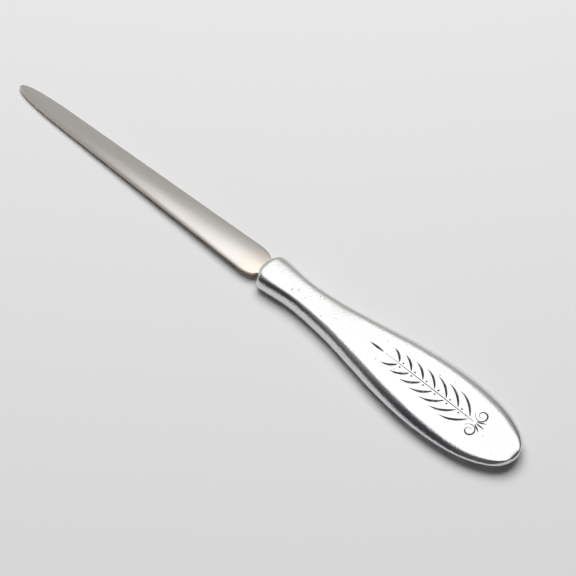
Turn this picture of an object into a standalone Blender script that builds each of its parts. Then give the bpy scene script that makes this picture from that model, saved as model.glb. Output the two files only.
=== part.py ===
# Letter opener: a cast pewter handle, a stamped steel blade whose tang runs into a pocket in the
# handle's nose, and the cured epoxy bed that holds the tang there.
# Metres, +Z up. +X runs from the handle's butt to the blade's point. The opener lies as it rests on a
# table, on the lowest stretch of the handle's underside and on the blade's tip. The origin is under the
# middle of the whole length, on that table.

import math

import bmesh
import bpy
import numpy as np
from mathutils import Vector

# Handle from above, measured along X from its butt end or back from its nose end
HANDLE_LENGTH = 0.1004
BUTT_ROUNDNESS = 2.2
BELLY_WIDTH = 0.0251
BELLY_FROM_BUTT = 0.0283
NECK_WIDTH = 0.0112
NECK_FROM_NOSE = 0.0145
NOSE_WIDTH = 0.0131
NOSE_ROUNDING = 0.0035
NOSE_ROUNDNESS = 2.0
BUTT_END_WIDTH_SHARE = 0.35
NOSE_END_WIDTH_SHARE = 0.465

# Heights of the handle's top above the table
BUTT_TOP_HEIGHT = 0.0052
CREST_HEIGHT = 0.00685
CREST_FROM_BUTT = 0.058
DIP_HEIGHT = 0.00655
DIP_FROM_NOSE = 0.0197
NOSE_TOP_HEIGHT = 0.0068

# Heights of its underside, which touches the table in one flat stretch between the belly and the neck
BUTT_CLEARANCE = 0.0025
NOSE_CLEARANCE = 0.0006
REST_START_SHARE = 0.31
REST_END_SHARE = 0.76

# How much of their height the two ends keep where they round off
BUTT_END_THICKNESS_SHARE = 0.944
NOSE_END_THICKNESS_SHARE = 0.955

# The handle's cross-section, as shares of its half width and thickness. The widest line lies just below
# mid height. The belly has a broad top with tight edges and a slightly domed underside. The neck is round.
TOP_FLAT_SHARE = 0.50
SHOULDER_SPREAD_SHARE = 0.766
SOLE_FLAT_SHARE = 0.62
SOLE_SPREAD_SHARE = 0.765
SOLE_RISE_SHARE = 0.25
BELLY_EDGE_HEIGHT_SHARE = 0.463
NECK_EDGE_HEIGHT_SHARE = 0.433
BELLY_SHOULDER_HEIGHT_SHARE = 1.06
NECK_SHOULDER_HEIGHT_SHARE = 0.84

# Where the handle's cage has its rings, as shares of each zone's length
BUTT_STATION_SHARES = (0.035, 0.14, 0.36, 0.66, 1.0)
BELLY_STATION_SHARES = (0.5, 1.0)
REST_STATION_SHARES = (0.25, 0.75, 1.0)
NECK_STATION_SHARES = (0.5, 1.0)
FLARE_STATION_SHARES = (0.5, 1.0)
NOSE_STATION_SHARES = (0.55,)
CAGE_LEVELS = 2
SHARP_ANGLE = math.radians(40)

# Blade
BLADE_REACH = 0.1096
BLADE_THICKNESS = 0.0015
BLADE_CROWN = 0.0003
BLADE_FACE_SHARES = (0, 0.35, 0.7, 1)
BLADE_EDGE_RADIUS = 0.00020
BLADE_END_WIDTH = 0.00665
SHOULDER_WIDTH = 0.01075
SHOULDER_LENGTH = 0.0055
SHOULDER_FROM_NOSE = 0.0005
POINT_LENGTH = 0.021
POINT_ROUNDNESS = 2.5
TIP_BLUNT_WIDTH = 0.0005
MID_HEIGHT_SHARE = 0.40
POINT_STEPS = 14
TAPER_STEPS = 8
SHOULDER_STEPS = 8

# Tang, the part of the blade inside the handle
TANG_LENGTH = 0.038
TANG_WIDTH = 0.0060
TANG_END_WIDTH = 0.0040
TANG_END_CHAMFER = 0.0008
KEY_HOLE_DIAMETER = 0.0024
KEY_HOLE_PLACE_SHARES = (0.40, 0.75)
KEY_HOLE_SIDES = 24

# Epoxy bed round the tang, and the pocket cast for it
FIT_GAP = 0.0003
BED_THICKNESS = 0.00035
BED_END_THICKNESS = 0.0010
BED_FROM_NOSE = 0.0008
BED_CORNER_RADIUS = 0.0003
CORNER_STEPS = 3
CUT_OVERRUN = 0.002

# Finishes: colour, metallic value, roughness
PEWTER = ("cast_pewter", (0.80, 0.80, 0.79), 1.0, 0.14)
STEEL = ("satin_steel", (0.60, 0.58, 0.56), 1.0, 0.32)
EPOXY = ("cured_epoxy", (0.42, 0.41, 0.38), 0.0, 0.45)

# Places that follow from the sizes above
BUTT_X = -(HANDLE_LENGTH + BLADE_REACH) / 2
NOSE_X = BUTT_X + HANDLE_LENGTH
TIP_X = NOSE_X + BLADE_REACH
BELLY_X = BUTT_X + BELLY_FROM_BUTT
NECK_X = NOSE_X - NECK_FROM_NOSE
FLARE_X = NOSE_X - NOSE_ROUNDING
CREST_X = BUTT_X + CREST_FROM_BUTT
DIP_X = NOSE_X - DIP_FROM_NOSE
REST_START_X = BELLY_X + (NECK_X - BELLY_X) * REST_START_SHARE
REST_END_X = BELLY_X + (NECK_X - BELLY_X) * REST_END_SHARE
SHOULDER_X = NOSE_X + SHOULDER_FROM_NOSE + SHOULDER_LENGTH
POINT_X = TIP_X - POINT_LENGTH
TANG_END_X = NOSE_X - TANG_LENGTH
MID_Z = NOSE_CLEARANCE + (NOSE_TOP_HEIGHT - NOSE_CLEARANCE) * MID_HEIGHT_SHARE
LEAN_SHARE = (MID_Z - BLADE_THICKNESS / 2) / BLADE_REACH
BED_INNER_MARGIN = FIT_GAP
BED_OUTER_MARGIN = BED_INNER_MARGIN + BED_THICKNESS
POCKET_MARGIN = BED_OUTER_MARGIN + FIT_GAP


def clear_scene():
    """Removes what a new Blender scene starts with."""
    for thing in list(bpy.data.objects):
        bpy.data.objects.remove(thing)


def eased(share):
    """A smooth step from 0 to 1, flat at both ends."""
    share = min(max(share, 0), 1)
    return (1 - math.cos(math.pi * share)) / 2


def between(start, end, share):
    """The value that lies that share of the way from start to end."""
    return start + (end - start) * share


def rounded_off(share, roundness):
    """Height of a superellipse's quarter, from 0 at share 0 to 1 at share 1."""
    share = min(max(share, 0), 1)
    return (1 - (1 - share) ** roundness) ** (1 / roundness)


def handle_half_width(x):
    """Half of the handle's width, seen from above."""
    if x <= BELLY_X:
        return BELLY_WIDTH / 2 * rounded_off((x - BUTT_X) / BELLY_FROM_BUTT, BUTT_ROUNDNESS)
    if x <= NECK_X:
        return between(BELLY_WIDTH, NECK_WIDTH, waist_share(x)) / 2
    if x <= FLARE_X:
        return between(NECK_WIDTH, NOSE_WIDTH, eased((x - NECK_X) / (FLARE_X - NECK_X))) / 2
    return NOSE_WIDTH / 2 * rounded_off((NOSE_X - x) / NOSE_ROUNDING, NOSE_ROUNDNESS)


def waist_share(x):
    """How far the form has changed from the belly's, 0, to the neck's, 1."""
    return eased((x - BELLY_X) / (NECK_X - BELLY_X))


def handle_top(x):
    """Height of the handle's top: an arch over the belly, a shallow dip at the neck, a rise to the nose."""
    if x <= CREST_X:
        return between(CREST_HEIGHT, BUTT_TOP_HEIGHT, ((CREST_X - x) / CREST_FROM_BUTT) ** 2)
    if x <= DIP_X:
        return between(CREST_HEIGHT, DIP_HEIGHT, eased((x - CREST_X) / (DIP_X - CREST_X)))
    return between(DIP_HEIGHT, NOSE_TOP_HEIGHT, eased((x - DIP_X) / DIP_FROM_NOSE))


def sole_height(x):
    """Height of the handle's underside, which lies flat on the table and rises towards both ends."""
    if x < REST_START_X:
        return BUTT_CLEARANCE * ((REST_START_X - x) / (REST_START_X - BUTT_X)) ** 2
    if x > REST_END_X:
        return NOSE_CLEARANCE * ((x - REST_END_X) / (NOSE_X - REST_END_X)) ** 2
    return 0


def sole_rise_share(x):
    """How far the underside's outer row is lifted. The lift fades out before the flat stretch."""
    return SOLE_RISE_SHARE * (1 - eased((x - BELLY_X) / (REST_START_X - BELLY_X)))


def end_heights(x, kept_share):
    """Underside and top height of an end ring, drawn in towards their middle."""
    sole, top = sole_height(x), handle_top(x)
    inset = (top - sole) * (1 - kept_share) / 2
    return sole + inset, top - inset


def handle_stations():
    """Where the handle's rings lie, without its two ends."""
    zones = (
        (BUTT_X, BELLY_X, BUTT_STATION_SHARES),
        (BELLY_X, REST_START_X, BELLY_STATION_SHARES),
        (REST_START_X, REST_END_X, REST_STATION_SHARES),
        (REST_END_X, NECK_X, NECK_STATION_SHARES),
        (NECK_X, FLARE_X, FLARE_STATION_SHARES),
        (FLARE_X, NOSE_X, NOSE_STATION_SHARES),
    )
    return [between(start, end, share) for start, end, shares in zones for share in shares]


def cage_values(wanted, first, last):
    """Cage values whose smoothed curve runs through the wanted ones, between two given ends.
    Subdivision draws each value in to four sixths of itself and a sixth of each neighbour."""
    count = len(wanted)
    own_weight, neighbour_weight = 4 / 6, 1 / 6
    matrix = own_weight * np.eye(count)
    matrix += neighbour_weight * (np.eye(count, k=1) + np.eye(count, k=-1))
    target = np.array(wanted)
    target[0] -= first * neighbour_weight
    target[-1] -= last * neighbour_weight
    return [first, *np.linalg.solve(matrix, target), last]


def handle_ring(station, x, half_width, sole, top):
    """Twelve cage points round the handle, from the middle of its sole up over its top, and the cap row."""
    waist = waist_share(station)
    edge_share = between(BELLY_EDGE_HEIGHT_SHARE, NECK_EDGE_HEIGHT_SHARE, waist)
    shoulder_share = between(BELLY_SHOULDER_HEIGHT_SHARE, NECK_SHOULDER_HEIGHT_SHARE, waist)
    edge_z = between(sole, top, edge_share)
    shoulder_z = between(edge_z, top, shoulder_share)
    inner = half_width * TOP_FLAT_SHARE
    side = (
        (half_width * SOLE_FLAT_SHARE, sole),
        (half_width * SOLE_SPREAD_SHARE, between(sole, top, sole_rise_share(station))),
        (half_width, edge_z),
        (half_width * SHOULDER_SPREAD_SHARE, shoulder_z),
        (inner, top),
    )
    profile = [(0, sole), *side, (0, top), *((-y, z) for y, z in reversed(side))]
    ring = [Vector((x, y, z)) for y, z in profile]
    cap_row = [Vector((x, y, edge_z)) for y in (inner, 0, -inner)]
    return ring, cap_row


def handle_rings():
    """The handle's cage rings from butt to nose. The section's own smoothing draws its widest point in,
    so the cage stands out by the inverse of that. The underside's cage keeps to the wanted heights, so
    that the stretch on the table stays flat."""
    stations = handle_stations()
    pull = 6 / (4 + SHOULDER_SPREAD_SHARE + SOLE_SPREAD_SHARE)
    widths = [handle_half_width(x) * pull for x in stations]
    butt_sole, butt_top = end_heights(BUTT_X, BUTT_END_THICKNESS_SHARE)
    nose_sole, nose_top = end_heights(NOSE_X, NOSE_END_THICKNESS_SHARE)
    butt_width = widths[0] * BUTT_END_WIDTH_SHARE
    nose_width = widths[-1] * NOSE_END_WIDTH_SHARE
    places = [BUTT_X, *stations, NOSE_X]
    xs = cage_values(stations, BUTT_X, NOSE_X)
    half_widths = cage_values(widths, butt_width, nose_width)
    soles = [butt_sole, *(sole_height(x) for x in stations), nose_sole]
    tops = cage_values([handle_top(x) for x in stations], butt_top, nose_top)
    return [handle_ring(*values) for values in zip(places, xs, half_widths, soles, tops)]


def bridge(mesh, first, second):
    """Quads between two loops of vertices of equal length."""
    count = len(first)
    for i in range(count):
        j = (i + 1) % count
        mesh.faces.new((first[i], first[j], second[j], second[i]))


def cap_cage(mesh, ring, row):
    """Eight quads across an end of the handle's cage, through the three points of its cap row."""
    left, middle, right = row
    sole, sole_left, corner_left, edge_left, shoulder_left, top_left, top = ring[:7]
    top_right, shoulder_right, edge_right, corner_right, sole_right = ring[7:]
    for corners in (
        (sole_left, corner_left, edge_left, left),
        (sole, sole_left, left, middle),
        (sole_right, sole, middle, right),
        (corner_right, sole_right, right, edge_right),
        (left, edge_left, shoulder_left, top_left),
        (middle, left, top_left, top),
        (right, middle, top, top_right),
        (edge_right, right, top_right, shoulder_right),
    ):
        mesh.faces.new(corners)


def finish_mesh(name, mesh, sharp_angle):
    """Turns a bmesh into a named object with its faces pointing out and its round stretches smooth."""
    bmesh.ops.recalc_face_normals(mesh, faces=mesh.faces[:])
    data = bpy.data.meshes.new(name)
    mesh.to_mesh(data)
    mesh.free()
    data.shade_smooth()
    data.set_sharp_from_angle(angle=sharp_angle)
    thing = bpy.data.objects.new(name, data)
    bpy.context.scene.collection.objects.link(thing)
    return thing


def make_cage(name, rings):
    """A closed cage of quads through the rings, for a Subdivision Surface modifier."""
    mesh = bmesh.new()
    loops = [[mesh.verts.new(point) for point in ring] for ring, _ in rings]
    for first, second in zip(loops, loops[1:]):
        bridge(mesh, first, second)
    for loop, (_, row) in ((loops[0], rings[0]), (loops[-1], rings[-1])):
        cap_cage(mesh, loop, [mesh.verts.new(point) for point in row])
    return finish_mesh(name, mesh, math.pi)


def make_loft(name, rings):
    """A closed solid through rings of points, with a flat cap on each end."""
    mesh = bmesh.new()
    loops = [[mesh.verts.new(point) for point in ring] for ring in rings]
    for first, second in zip(loops, loops[1:]):
        bridge(mesh, first, second)
    mesh.faces.new(loops[0])
    mesh.faces.new(loops[-1])
    return finish_mesh(name, mesh, SHARP_ANGLE)


def cut_with(target, cutter, operation):
    """Cuts target with cutter, or joins it on, and keeps the cutter as a wire guide."""
    cutter.hide_render = True
    cutter.display_type = "WIRE"
    modifier = target.modifiers.new(cutter.name, "BOOLEAN")
    modifier.operation = operation
    modifier.object = cutter


def mid_height(x):
    """Height of the blade's middle plane. From the nose it comes down to the table at the tip."""
    return MID_Z + LEAN_SHARE * (NOSE_X - x)


def blade_half_width(x):
    """Half of the straight taper's width, from the shoulders to the tip."""
    share = (SHOULDER_X - x) / (SHOULDER_X - POINT_X)
    return between(SHOULDER_WIDTH, BLADE_END_WIDTH, share) / 2


def tang_half_width(x):
    """Half of the tang's width, which narrows towards its end."""
    return between(TANG_WIDTH, TANG_END_WIDTH, (NOSE_X - x) / TANG_LENGTH) / 2


def point_stations():
    """The rounded point, a superellipse quarter on the taper, from the tip back."""
    found = [(TIP_X, TIP_BLUNT_WIDTH / 2)]
    for step in range(1, POINT_STEPS + 1):
        angle = math.pi / 2 * step / POINT_STEPS
        along = POINT_LENGTH * (1 - max(math.cos(angle), 0) ** (2 / POINT_ROUNDNESS))
        x = TIP_X - along
        found.append((x, blade_half_width(x) * math.sin(angle) ** (2 / POINT_ROUNDNESS)))
    return found


def taper_stations():
    """The straight flanks between the point and the shoulders."""
    shares = [step / TAPER_STEPS for step in range(1, TAPER_STEPS)]
    return [(x, blade_half_width(x)) for x in (between(POINT_X, SHOULDER_X, share) for share in shares)]


def shoulder_stations():
    """The rounded shoulders, an ellipse quarter down to the tang's width."""
    tang = TANG_WIDTH / 2
    found = []
    for step in range(SHOULDER_STEPS + 1):
        angle = math.pi / 2 * step / SHOULDER_STEPS
        x = SHOULDER_X - SHOULDER_LENGTH * math.sin(angle)
        found.append((x, between(tang, SHOULDER_WIDTH / 2, math.cos(angle))))
    return found


def tang_stations():
    """The tang, with chamfered end corners."""
    chamfer_x = TANG_END_X + TANG_END_CHAMFER
    return [
        (NOSE_X, TANG_WIDTH / 2),
        (chamfer_x, tang_half_width(chamfer_x)),
        (TANG_END_X, tang_half_width(TANG_END_X) - TANG_END_CHAMFER),
    ]


def blade_ring(x, half_width):
    """Points round the blade: crowned faces and rounded edges."""
    half_thickness = BLADE_THICKNESS / 2
    radius = min(BLADE_EDGE_RADIUS, half_width / 2, half_thickness / 2)
    flat = half_width - radius
    face = []
    for y in (flat * share for share in BLADE_FACE_SHARES):
        face.append((y, half_thickness - BLADE_CROWN * (y / half_width) ** 2))
    edge_z = face[-1][1]
    diagonal = radius * math.sqrt(0.5)
    corner = (flat + diagonal, edge_z - radius + diagonal)
    side = (half_width, edge_z - radius)
    upper = [*face, corner, side]
    lower = [(y, -z) for y, z in reversed(upper)]
    right = upper + lower
    left = [(-y, z) for y, z in reversed(right) if y > 0]
    middle = mid_height(x)
    return [Vector((x, y, middle + z)) for y, z in right + left]


def key_hole_places():
    """Where the tang's keying holes lie."""
    return [NOSE_X - TANG_LENGTH * share for share in KEY_HOLE_PLACE_SHARES]


def make_pin(name, x, radius, height):
    """A cylinder square to the tang, at its mid height."""
    mesh = bmesh.new()
    bmesh.ops.create_cone(
        mesh, cap_ends=True, segments=KEY_HOLE_SIDES, radius1=radius, radius2=radius, depth=height
    )
    thing = finish_mesh(name, mesh, SHARP_ANGLE)
    thing.location = (x, 0, mid_height(x))
    thing.rotation_euler = (0, math.atan(LEAN_SHARE), 0)
    return thing


def tapered_bar(name, mouth_x, end_x, margin):
    """A bar with rounded corners that follows the tang all round at that margin."""
    half_thickness = BLADE_THICKNESS / 2 + margin
    corner = BED_CORNER_RADIUS + margin - BED_INNER_MARGIN
    rings = []
    for x in (mouth_x, end_x):
        half_width = tang_half_width(x) + margin
        middle = mid_height(x)
        ring = []
        for quarter in range(4):
            turn = math.pi / 2 * quarter
            side_y = math.copysign(half_width - corner, math.cos(turn + math.pi / 4))
            side_z = math.copysign(half_thickness - corner, math.sin(turn + math.pi / 4))
            for step in range(CORNER_STEPS + 1):
                angle = turn + math.pi / 2 * step / CORNER_STEPS
                y = side_y + corner * math.cos(angle)
                z = side_z + corner * math.sin(angle)
                ring.append(Vector((x, y, middle + z)))
        rings.append(ring)
    return make_loft(name, rings)


def make_finish(name, colour, metallic, roughness):
    """A material with a plain colour."""
    material = bpy.data.materials.new(name)
    material.use_nodes = True
    shader = material.node_tree.nodes["Principled BSDF"]
    shader.inputs["Base Color"].default_value = (*colour, 1)
    shader.inputs["Metallic"].default_value = metallic
    shader.inputs["Roughness"].default_value = roughness
    return material


def make_handle():
    """The cast handle, with the tang's pocket open at its nose."""
    handle = make_cage("handle", handle_rings())
    handle.data.materials.append(make_finish(*PEWTER))
    smoothing = handle.modifiers.new("smooth_casting", "SUBSURF")
    smoothing.levels = CAGE_LEVELS
    smoothing.render_levels = CAGE_LEVELS
    pocket_end_x = TANG_END_X - FIT_GAP - BED_END_THICKNESS - FIT_GAP
    pocket = tapered_bar("tang_pocket_cutter", NOSE_X + CUT_OVERRUN, pocket_end_x, POCKET_MARGIN)
    cut_with(handle, pocket, "DIFFERENCE")


def make_blade():
    """The blade and its tang, one strip of steel, with the tang's two keying holes."""
    stations = point_stations() + taper_stations() + shoulder_stations() + tang_stations()
    blade = make_loft("blade", [blade_ring(*station) for station in stations])
    blade.data.materials.append(make_finish(*STEEL))
    for number, x in enumerate(key_hole_places(), 1):
        height = BLADE_THICKNESS + 2 * CUT_OVERRUN
        cut_with(blade, make_pin(f"key_hole_cutter_{number}", x, KEY_HOLE_DIAMETER / 2, height), "DIFFERENCE")


def make_bed():
    """The epoxy bed: a sleeve closed at its end, keyed through the tang's holes."""
    end_x = TANG_END_X - FIT_GAP - BED_END_THICKNESS
    bed = tapered_bar("tang_adhesive", NOSE_X - BED_FROM_NOSE, end_x, BED_OUTER_MARGIN)
    bed.data.materials.append(make_finish(*EPOXY))
    space = tapered_bar("tang_space_cutter", NOSE_X + CUT_OVERRUN, TANG_END_X - FIT_GAP, BED_INNER_MARGIN)
    cut_with(bed, space, "DIFFERENCE")
    for number, x in enumerate(key_hole_places(), 1):
        height = BLADE_THICKNESS + 2 * BED_INNER_MARGIN + BED_THICKNESS
        cut_with(bed, make_pin(f"key_plug_{number}", x, KEY_HOLE_DIAMETER / 2 - FIT_GAP, height), "UNION")


clear_scene()
make_handle()
make_blade()
make_bed()
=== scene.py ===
"""Letter opener: the look of a cast pewter handle, a satin steel blade and the resin that joins them."""

import math
from contextlib import contextmanager

import bmesh
import bpy
import numpy as np
from bpy.props import FloatProperty, FloatVectorProperty, IntProperty, PointerProperty
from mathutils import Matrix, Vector


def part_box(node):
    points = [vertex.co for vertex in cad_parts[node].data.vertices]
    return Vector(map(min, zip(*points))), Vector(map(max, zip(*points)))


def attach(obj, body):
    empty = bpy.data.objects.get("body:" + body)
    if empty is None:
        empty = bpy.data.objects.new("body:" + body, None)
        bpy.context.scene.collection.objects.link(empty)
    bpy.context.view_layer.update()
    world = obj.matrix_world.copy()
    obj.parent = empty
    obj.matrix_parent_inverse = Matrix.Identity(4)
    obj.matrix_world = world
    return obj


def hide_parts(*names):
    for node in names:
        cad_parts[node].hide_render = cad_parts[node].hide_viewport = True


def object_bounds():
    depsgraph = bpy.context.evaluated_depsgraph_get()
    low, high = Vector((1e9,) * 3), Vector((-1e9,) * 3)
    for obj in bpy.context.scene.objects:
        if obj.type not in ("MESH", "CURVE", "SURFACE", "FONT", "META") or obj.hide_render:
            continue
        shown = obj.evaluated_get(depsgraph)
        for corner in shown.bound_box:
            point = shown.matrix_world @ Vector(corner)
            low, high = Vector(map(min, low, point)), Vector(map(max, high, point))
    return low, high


bl_info = {
    "name": "Letter Opener",
    "version": (1, 0, 0),
    "blender": (4, 5, 0),
    "location": "3D View > Sidebar > Letter Opener",
    "description": "Models a cast pewter letter opener with a satin steel blade",
    "category": "Add Mesh",
}

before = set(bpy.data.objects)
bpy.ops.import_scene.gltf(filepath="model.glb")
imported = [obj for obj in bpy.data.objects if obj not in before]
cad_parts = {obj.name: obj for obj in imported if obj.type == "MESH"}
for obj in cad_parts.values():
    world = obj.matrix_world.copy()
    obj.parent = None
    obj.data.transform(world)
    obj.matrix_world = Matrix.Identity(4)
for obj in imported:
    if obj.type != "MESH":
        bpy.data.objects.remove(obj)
CAD_LOW, CAD_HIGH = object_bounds()
HANDLE_LOW, HANDLE_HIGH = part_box("handle")
BLADE_LOW, BLADE_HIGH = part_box("blade")
BED_LOW, BED_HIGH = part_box("tang_adhesive")

# The handle's section, as shares of its half width and thickness
TOP_FLAT_SHARE = 0.50
SHOULDER_SPREAD_SHARE = 0.766
SOLE_FLAT_SHARE = 0.62
SOLE_SPREAD_SHARE = 0.765
SOLE_RISE_SHARE = 0.25
BELLY_EDGE_HEIGHT_SHARE = 0.463
NECK_EDGE_HEIGHT_SHARE = 0.433
BELLY_SHOULDER_HEIGHT_SHARE = 1.06
NECK_SHOULDER_HEIGHT_SHARE = 0.84

# Where the underside touches the table, as shares of the way from the belly to the neck
REST_START_SHARE = 0.31
REST_END_SHARE = 0.76

# Where the handle's cage has its rings, as shares of each zone's length
BUTT_STATION_SHARES = (0.035, 0.14, 0.36, 0.66, 1.0)
BELLY_STATION_SHARES = (0.5, 1.0)
REST_STATION_SHARES = (0.25, 0.75, 1.0)
NECK_STATION_SHARES = (0.5, 1.0)
FLARE_STATION_SHARES = (0.5, 1.0)
NOSE_STATION_SHARES = (0.55,)

# Where the tang's holes lie, as shares of its length from the nose
KEY_HOLE_PLACE_SHARES = (0.40, 0.75)

# The rounding of the pocket's and the resin's corners, as shares of their distance from the tang
POCKET_CORNER_SHARE = 0.95
RESIN_CORNER_SHARE = 0.85

# The rows along the blade's faces, as shares of its half width, and the sections along its parts
FACE_ROW_SHARES = (0.25, 0.5, 0.75)
POINT_STEPS = 26
TAPER_STEPS = 24
SHOULDER_STEPS = 14

# A leaf's line along and across the stem, as shares of its length, and its swelling along that line
LEAF_LINE = ((0.03, 0.02), (0.20, 0.27), (0.52, 0.56), (0.93, 0.60))
LEAF_SWELLING = (0.25, 1.15, 1, 0.08)
END_LEAF_LINE = (0, 0.3, 0.65, 1)
END_LEAF_SWELLING = (0.2, 1.2, 1, 0.08)

# The same for the stem and for the fan of cuts behind it, whose cuts are shares of the scrolls' radius times
# its reach, with its directions in degrees
STEM_LINE = (0, 0.25, 0.5, 0.75, 1)
STEM_SWELLING = (0.5, 1.2, 1, 0.9, 0.4)
FAN_LINE = (0.28, 0.5, 0.8, 1.1)
FAN_SWELLING = (0.5, 2.1, 1.8, 0.2)
FAN_DIRECTIONS = (180, 152, 208)
FAN_REACH = 1.5

# Where leaves and berries stand on the stem, as shares of the way from one pair to the next
LEAF_START = 0.35
BERRY_START = 0.12

# How far leaves stand off the stem's middle and the end leaf off its end, as shares of the stem's width, how
# far berries do, as a share of their own, and the end leaf's length, as a share of the last pair's
LEAF_ROOT = 1.15
END_LEAF_START = 2
BERRY_ROOT = 1.35
END_LEAF_LENGTH = 1.1

# How the scrolls turn and narrow, where their middles lie, as shares of their radius, and how wide they are
# cut, as shares of the stem
SCROLL_TURNS = 1.35
SCROLL_STEPS = 16
SCROLL_START = math.radians(-78)
SCROLL_NARROWING = 0.72
SCROLL_BACK = 0.35
SCROLL_SIDE = 1.32
SCROLL_FLATTENING = 0.95
SCROLL_LEAST_WIDTH = 0.35
SCROLL_SWELLING = 1.35
SCROLL_SWELLING_SPEED = 1.15

# How many waves, grains, pits, patches or lines of each kind lie along a metre
WAVES_PER_METRE = 150
GRAIN_PER_METRE = 1700
FINE_GRAIN_PER_METRE = 2600
PITS_PER_METRE = 620
RUBBED_PER_METRE = 900
CUT_GRAIN_PER_METRE = 3200
BRUSHED_PER_METRE = 9000
BANDS_PER_METRE = 1100
CLOUDS_PER_METRE = 1400

# Heights of the bumps in metres
WAVE_HEIGHT = 0.000018
GRAIN_HEIGHT = 0.00004
SIDE_GRAIN_HEIGHT = 0.00008
SPECK_HEIGHT = 0.000015
PIT_DEPTH = 0.00005
CUT_GRAIN_HEIGHT = 0.00002
BRUSHED_HEIGHT = 0.000004
CLOUD_HEIGHT = 0.00003

# How much of the patina is rubbed off the cuts, how much painted shade darkens the side-facing surfaces, and
# how much patina shows in pits and specks
RUBBED_MOST = 0.35
SIDE_PAINTED_SHADE = 0.15
PIT_PATINA = 0.75
SPECK_PATINA = 0.16

# The two roughnesses that each finish varies between, and what scratches, pits, smudges and edges add
PEWTER_ROUGHNESS = (0.10, 0.145)
PATINA_ROUGHNESS = (0.55, 0.35)
STEEL_ROUGHNESS = (0.12, 0.17)
RESIN_ROUGHNESS = (0.3, 0.5)
SCRATCH_ROUGHNESS = 0.10
PIT_ROUGHNESS = 0.25
SMUDGE_ROUGHNESS = 0.05
EDGE_ROUGHNESS = 0.28

# Direction in radians and width of the three sets of scratches, as shares of their pattern, and how much
# longer than wide scratches and brushed lines are
SCRATCHES = ((0.2, 0.010), (1.15, 0.007), (-0.75, 0.008))
SCRATCH_STRETCH = 7
BRUSHED_STRETCH = 60

# How far the painted warm reflection reaches along the blade from the handle, how strong it is and how ragged
# its end is
WARM_REFLECTION_REACH = 0.010
WARM_REFLECTION_SHARE = 0.6
WARM_REFLECTION_RAGGED = 0.006

# The camera's film width in millimetres and its nearest and farthest view, then the floor and its patches
SENSOR_WIDTH = 36
CLIP_NEAR = 0.01
CLIP_FAR = 20
FLOOR_SIZE = 8
FLOOR_ROUGHNESS = 0.9
FLOOR_SHINE = 0.1
FLOOR_PATCHES_PER_METRE = 3
FLOOR_PATCH_SHADE = 0.985

# Where parts of the room start and end, on scales from -1 at the near, the left or the lowest side to 1 at
# the far, the right or the highest side, and how much of the low room's colour shows
DIM_RIGHT_SPAN = (0.3, 0.85)
BEHIND_SIDE_SPAN = (-0.75, -0.45)
BEHIND_NEAR_SPAN = (-0.15, -0.5)
WINDOW_SIDE_SPAN = (-0.3, -0.6)
WINDOW_FAR_SPAN = (0.2, 0.5)
LOW_SPAN = (0.02, 0.20)
LOW_SHARE = 0.7

# The room's colours from the camera's side, at 0, to past the object, at 1
ROOM_STOPS = (
    (0.0, (0.027, 0.030, 0.036)),
    (0.1, (0.032, 0.035, 0.042)),
    (0.25, (0.036, 0.039, 0.046)),
    (0.38, (0.046, 0.049, 0.057)),
    (0.5, (0.225, 0.228, 0.236)),
    (0.7, (0.405, 0.400, 0.392)),
    (0.85, (0.460, 0.455, 0.446)),
    (1.0, (0.470, 0.465, 0.456)),
)
SMOOTH_ANGLE = math.radians(30)
SAME_PLACE = 1e-6


def length(name, description, default):
    """A size property in metres."""
    return FloatProperty(
        name=name,
        description=description,
        default=default,
        min=0,
        subtype="DISTANCE",
        unit="LENGTH",
        precision=6,
    )


def share(name, description, default):
    """A plain number, mostly between 0 and 1."""
    return FloatProperty(name=name, description=description, default=default, precision=3)


def colour(name, description, default):
    """A linear colour."""
    return FloatVectorProperty(
        name=name, description=description, default=default, min=0, max=1, size=3, subtype="COLOR"
    )


def degrees(name, description, default):
    """An angle, its default given in degrees."""
    return FloatProperty(name=name, description=description, default=math.radians(default), subtype="ANGLE")


class HandleSizes(bpy.types.PropertyGroup):
    """Sizes of the cast handle, along its length from the butt end or back from the nose end."""

    length: length("Length", "From the butt to the nose", 0.1004)
    butt_roundness: share("Butt roundness", "Exponent of the butt's outline", 2.2)
    butt_end_share: share("Butt end share", "Width of the butt's end, as a share of the first ring's", 0.18)
    butt_end_height: share("Butt end height", "Thickness that the butt's end keeps, as a share", 0.62)
    belly_width: length("Belly width", "Greatest width", 0.0251)
    belly_from_butt: length("Belly place", "Greatest width, measured from the butt", 0.0283)
    neck_width: length("Neck width", "Least width", 0.0112)
    neck_from_nose: length("Neck place", "Least width, measured from the nose", 0.0145)
    nose_width: length("Nose width", "Width of the flared nose", 0.0131)
    nose_rounding: length("Nose rounding", "How far back the nose starts to round off", 0.0035)
    nose_roundness: share("Nose roundness", "Exponent of the nose's outline", 2.0)
    nose_end_share: share("Nose end share", "Width of the nose's end, as a share of the last ring's", 0.465)
    nose_end_height: share("Nose end height", "Thickness that the nose's end keeps, as a share", 0.955)
    butt_top: length("Butt top", "Height of the butt's top above the table", 0.0052)
    crest: length("Crest", "Greatest height of the top", 0.00685)
    crest_from_butt: length("Crest place", "Greatest height, measured from the butt", 0.058)
    dip: length("Dip", "Height of the top where it dips", 0.00655)
    dip_from_nose: length("Dip place", "Dip of the top, measured from the nose", 0.0197)
    nose_top: length("Nose top", "Height of the nose's top", 0.0068)
    butt_clearance: length("Butt clearance", "Height of the butt's underside above the table", 0.0025)
    nose_clearance: length("Nose clearance", "Height of the nose's underside above the table", 0.0006)
    levels: IntProperty(name="Smoothing", description="Subdivision levels", default=4, min=1, max=5)


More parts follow.
